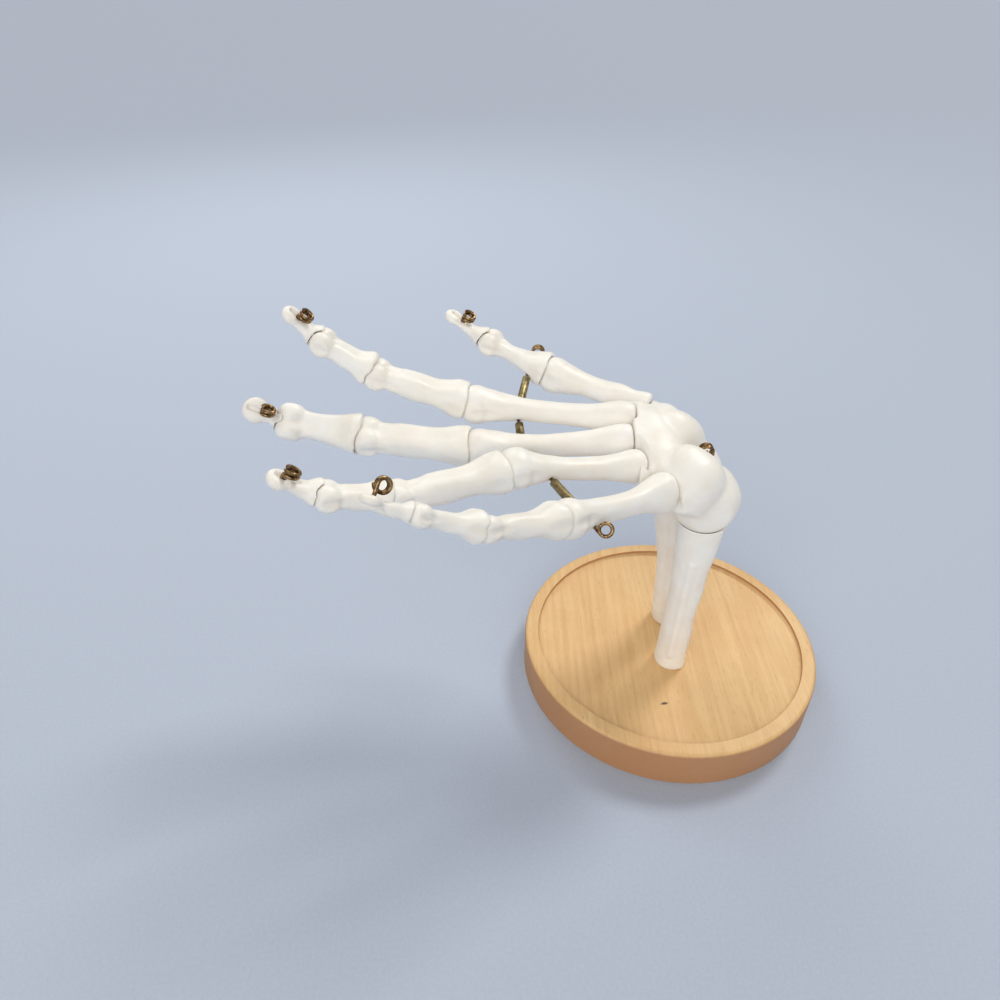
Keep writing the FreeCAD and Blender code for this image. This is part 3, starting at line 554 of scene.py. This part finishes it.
def digit_points(digit, parts, pieces):
    """Each bone of a digit with its two ends and the axis of its far joint, worked out from the tip
    back: an end without a hinge is the bone's own furthest part."""
    hinges = [JOINT_OF.get(f"{digit}_{part}") for part in parts]
    following = [*hinges[1:], hinges[-1]]
    rows = []
    far = None
    for part, hinge, after in reversed([*zip(parts, hinges, following)]):
        near = Vector(hinge["pos_m"]) if hinge else far_end(pieces[part], far)
        if far is None:
            far = far_end(pieces[part], near)
        axis = Vector((after or hinges[-1])["axis"])
        rows.append((part, near, far, axis))
        far = near
    return reversed(rows)


# How far each fingertip's eye leans over: 0 lies flat above the bone and 90 stands on edge
EYE_LEANS = {"index": 0, "middle": 55, "ring": 0, "little": 90, "thumb": 0}
tips = {}
for number, (digit, parts) in enumerate(DIGITS.items()):
    pieces = {
        part: remeshed(f"{digit}_{part}", f"{digit}_{part}_bone_skin", *FINGER_SKIN) for part in parts
    }
    for part, near, far, across in digit_points(digit, parts, pieces):
        bone = Bone(pieces[part], near, far, across)
        mark(bone, MARKS[part])
        if part == "distal":
            score_palm(bone, TIP_GROOVE)
        if part in ("proximal", "middle"):
            score_palm(bone, PALM_RIDGES)
        bone.unevenness(*FINGER_SWELLS, number * 3 + len(part))
        bone.close()
        finish_piece(pieces[part], f"{digit}_{part}", bone_white)
        if part == "distal":
            tips[f"{digit}_tip_wire"] = bone, math.radians(EYE_LEANS[digit])

# The wrist block is one smooth mass, filled out between its two knuckles and its front edge, and the
# forearm bones have a long ridge and a slightly lumpy skin

# Middle of each swelling on top of the wrist block, its size along and across, and its height, in mm
WRIST_SWELLS = (
    ((-11, 10, 100), 14, 14, 2.4),
    ((-11, -4, 95), 13, 12, 2.6),
)
# A thin lip stands between the seats of the thumb's and the index finger's bones: its place and how
# far round it the skin is eased, in mm, and in how many rounds
THIN_LIP = (Vector((-24.4, 23.8, 117)) * MM, 5, 60)
SIDEWAYS = Vector((0, 1, 0))
UP = Vector((0, 0, 1))

wrist = remeshed("carpal_block", "carpal_block_skin", *WRIST_SKIN)
low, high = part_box("carpal_block")
middle = (low + high) / 2
back, front = Vector((high.x, middle.y, middle.z)), Vector((low.x, middle.y, middle.z))
block = Bone(wrist, back, front, SIDEWAYS)
for place, long_size, wide_size, swell in WRIST_SWELLS:
    block.hollow(Vector(place) * MM, UP, long_size, wide_size, -swell)
block.ease(*THIN_LIP)
block.unevenness(*WRIST_SKIN_SWELLS, 3)
block.close()
finish_piece(wrist, "carpal_block", bone_white)

# The lumps and the edge set in below the seat of the wrist, over this span of depths in mm
SEAT_END, SHAFT_START = 9, 19
# The blunt edge on the side away from the palm: its depth under the top, how far it stops above the
# foot, its width and its height, in mm, and the way it faces
EDGE_START, EDGE_STOP, EDGE_WIDTH, EDGE_HEIGHT = 16, 8, 2.4, 0.7
EDGE_WAY = Vector((-0.35, -0.94, 0))

# The near bone's rim rises 0.4 mm to meet the wrist
for node, seed, rim_rise in (("ulna_stub", 4, 0.4 * MM), ("radius_stub", 9, 0)):
    piece = remeshed(node, f"{node}_skin", *STUB_SKIN)
    low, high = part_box(node)
    stub = Bone(piece, UP * high.z, UP * low.z, SIDEWAYS)
    depth = (high.z - stub.skin[:, 2]) / MM
    shaft = np.clip((depth - SEAT_END) / (SHAFT_START - SEAT_END), 0, 1)
    for number, (span, height) in enumerate((STUB_LARGE_SWELLS, STUB_SMALL_SWELLS)):
        stub.unevenness(span, height * shaft, seed + 5 * number)
    levels = (EDGE_START, depth.max() - EDGE_STOP)
    ends = [Vector(stub.skin[abs(depth - level) < 1].mean(axis=0)) for level in levels]
    stub.channel(*ends, EDGE_WAY, EDGE_WIDTH, -EDGE_HEIGHT)
    stub.skin[:, 2] += rim_rise * (1 - shaft)
    stub.close()
    finish_piece(piece, node, bone_white)


# Tubes, disc, screws and most wires keep the nodes' forms

WIRE_RADIUS = 0.6 * MM
TUBE_EDGE = 0.15 * MM
# A fingertip's eye: the radius of its rings, their distance, their number, the bend that leads into
# them, and how far under the solid's own eye the stem is cut
EYE_RADIUS = 2 * MM
EYE_PITCH = 1.22 * MM
EYE_TURNS = 2
EYE_BEND = 1 * MM
STEM_CUT = 0.1 * MM
# How high the wire's middle goes over the cut where its rings come nearest to the bone
FLAT_EYE_LIFT = 1.35 * MM
STANDING_EYE_LIFT = 0.75 * MM
BEND_POINTS = 7
RING_POINTS = 60


def drawn_wire(points):
    """The mesh of a round wire along a line of points."""
    line = bpy.data.curves.new("wire_line", "CURVE")
    line.dimensions = "3D"
    line.bevel_depth = WIRE_RADIUS
    line.bevel_resolution = 4
    line.use_fill_caps = True
    spline = line.splines.new("POLY")
    spline.points.add(len(points) - 1)
    for corner, point in zip(spline.points, points):
        corner.co = (*point, 1)
    holder = bpy.data.objects.new("wire_line", line)
    bpy.context.scene.collection.objects.link(holder)
    graph = bpy.context.evaluated_depsgraph_get()
    mesh = bpy.data.meshes.new_from_object(holder.evaluated_get(graph))
    bpy.data.objects.remove(holder)
    return mesh


def wind_eye(wire, bone, lean):
    """Winds a fingertip wire's eye again above its stem, in the tight rings of the real one."""
    form = bmesh.new()
    form.from_mesh(wire.data)
    top = max(vertex.co.dot(bone.palm) for vertex in form.verts)
    foot = top - 2 * (EYE_RADIUS + WIRE_RADIUS) - STEM_CUT
    cut = bmesh.ops.bisect_plane(
        form,
        geom=[*form.verts, *form.edges, *form.faces],
        plane_co=bone.palm * foot,
        plane_no=bone.palm,
        clear_outer=True,
    )
    rim = [part for part in cut["geom_cut"] if isinstance(part, bmesh.types.BMEdge)]
    corners = [corner.co for edge in rim for corner in edge.verts]
    stem = sum(corners, Vector()) / len(corners)
    bmesh.ops.edgeloop_fill(form, edges=rim)
    # The stem bends over towards the first ring, whose lowest point clears the bone
    level, upright = math.cos(lean), math.sin(lean)
    clear = STANDING_EYE_LIFT + (FLAT_EYE_LIFT - STANDING_EYE_LIFT) * level**2
    straight = clear + EYE_RADIUS * upright - EYE_BEND * level
    points = [stem - bone.palm * WIRE_RADIUS]
    for angle in np.linspace(0, math.pi / 2 - lean, BEND_POINTS):
        rise = bone.palm * (straight + EYE_BEND * math.sin(angle))
        points.append(stem + rise + bone.across * (EYE_BEND * (1 - math.cos(angle))))
    centre = points[-1] - bone.along * EYE_RADIUS
    axis = bone.palm * level - bone.across * upright
    side = bone.across * level + bone.palm * upright
    for angle in np.linspace(0, EYE_TURNS * 2 * math.pi, RING_POINTS)[1:]:
        spoke = bone.along * math.cos(angle) + side * math.sin(angle)
        points.append(centre + spoke * EYE_RADIUS + axis * (EYE_PITCH * angle / (2 * math.pi)))
    form.from_mesh(drawn_wire(points))
    form.to_mesh(wire.data)
    form.free()


for node in frame["nodes"]:
    if node.endswith("_wire"):
        wire = copy_of(node, f"{node}_drawn")
        if node in tips:
            wind_eye(wire, *tips[node])
        finish_piece(wire, node, wire_bronze)
    elif node.endswith("_spacer"):
        piece = copy_of(node, f"{node}_tube")
        ends = piece.modifiers.new("ends", "BEVEL")
        ends.width = TUBE_EDGE
        ends.segments = 2
        ends.angle_limit = math.radians(50)
        settle(piece)
        finish_piece(piece, node, tube_brass)
        piece.data.set_sharp_from_angle(angle=SHARP_ANGLE)

disc = copy_of("base_disc", "base_disc_turned")
finish_piece(disc, "base_disc", beech)
disc.data.set_sharp_from_angle(angle=SHARP_ANGLE)
screws = copy_of("forearm_screws", "forearm_screws_driven")
finish_piece(screws, "forearm_screws", zinc)
screws.data.set_sharp_from_angle(angle=SHARP_ANGLE)


# Floor, world and lights

HAND_MIDDLE = Vector((-0.04, 0, 0.09))
FLOOR_REACH = 14


def plain_floor():
    """A pale paper floor, wide enough to run past the top of the view."""
    form = bmesh.new()
    bmesh.ops.create_grid(form, x_segments=1, y_segments=1, size=FLOOR_REACH)
    mesh = bpy.data.meshes.new("paper_floor")
    form.to_mesh(mesh)
    form.free()
    floor = bpy.data.objects.new("paper_floor", mesh)
    bpy.context.scene.collection.objects.link(floor)
    material, tree, shader, place = new_material("pale_blue_paper")
    # Faint mottling about 1 mm across, a guess
    mottling = add(tree, "ShaderNodeTexNoise", {"Vector": place, "Scale": 900, "Detail": 2})
    tint = add(
        tree,
        "ShaderNodeValToRGB",
        {"Fac": mottling.outputs["Fac"]},
        stops=[(0.3, "#b2bdcf"), (0.7, "#b8c2d4")],
    )
    tree.links.new(tint.outputs[0], shader.inputs["Base Color"])
    shader.inputs["Roughness"].default_value = 0.9
    shader.inputs["Specular IOR Level"].default_value = 0.2
    mesh.materials.append(material)


def soft_lamp(name, kind, place, power, colour, **settings):
    """A lamp at a place, turned towards the middle of the hand."""
    lamp = bpy.data.objects.new(name, bpy.data.lights.new(name, kind))
    bpy.context.scene.collection.objects.link(lamp)
    lamp.data.energy = power
    lamp.data.color = linear(colour)[:3]
    for setting, value in settings.items():
        setattr(lamp.data, setting, value)
    lamp.location = place
    lamp.rotation_euler = (HAND_MIDDLE - Vector(place)).to_track_quat("-Z", "Y").to_euler()


plain_floor()
# The key stands behind the hand, high and to the right, and the fill in front to the left. A large
# window lamp gives the metal and the plastic their sheen.
soft_lamp("key_lamp", "SUN", (0.55, 0.7, 1.2), 1.2, "#fffcf6", angle=math.radians(16))
soft_lamp("fill_lamp", "SUN", (-0.35, -1.1, 0.8), 1.4, "#fffcf8", angle=math.radians(60))
soft_lamp("window_lamp", "AREA", (-0.35, 0.75, 0.75), 2.2, "#ffffff", size=0.5)
world = bpy.data.worlds.new("studio_air")
world.use_nodes = True
bpy.context.scene.world = world
tree = world.node_tree
sky = tree.nodes["Background"]
sky.inputs["Color"].default_value = linear("#f8f5f0")
seen = add(tree, "ShaderNodeLightPath").outputs["Is Camera Ray"]
level = add(tree, "ShaderNodeMapRange", {"Value": seen, "To Min": 0.42, "To Max": 0.7})
tree.links.new(level.outputs[0], sky.inputs["Strength"])
bpy.context.scene.view_settings.view_transform = "Standard"
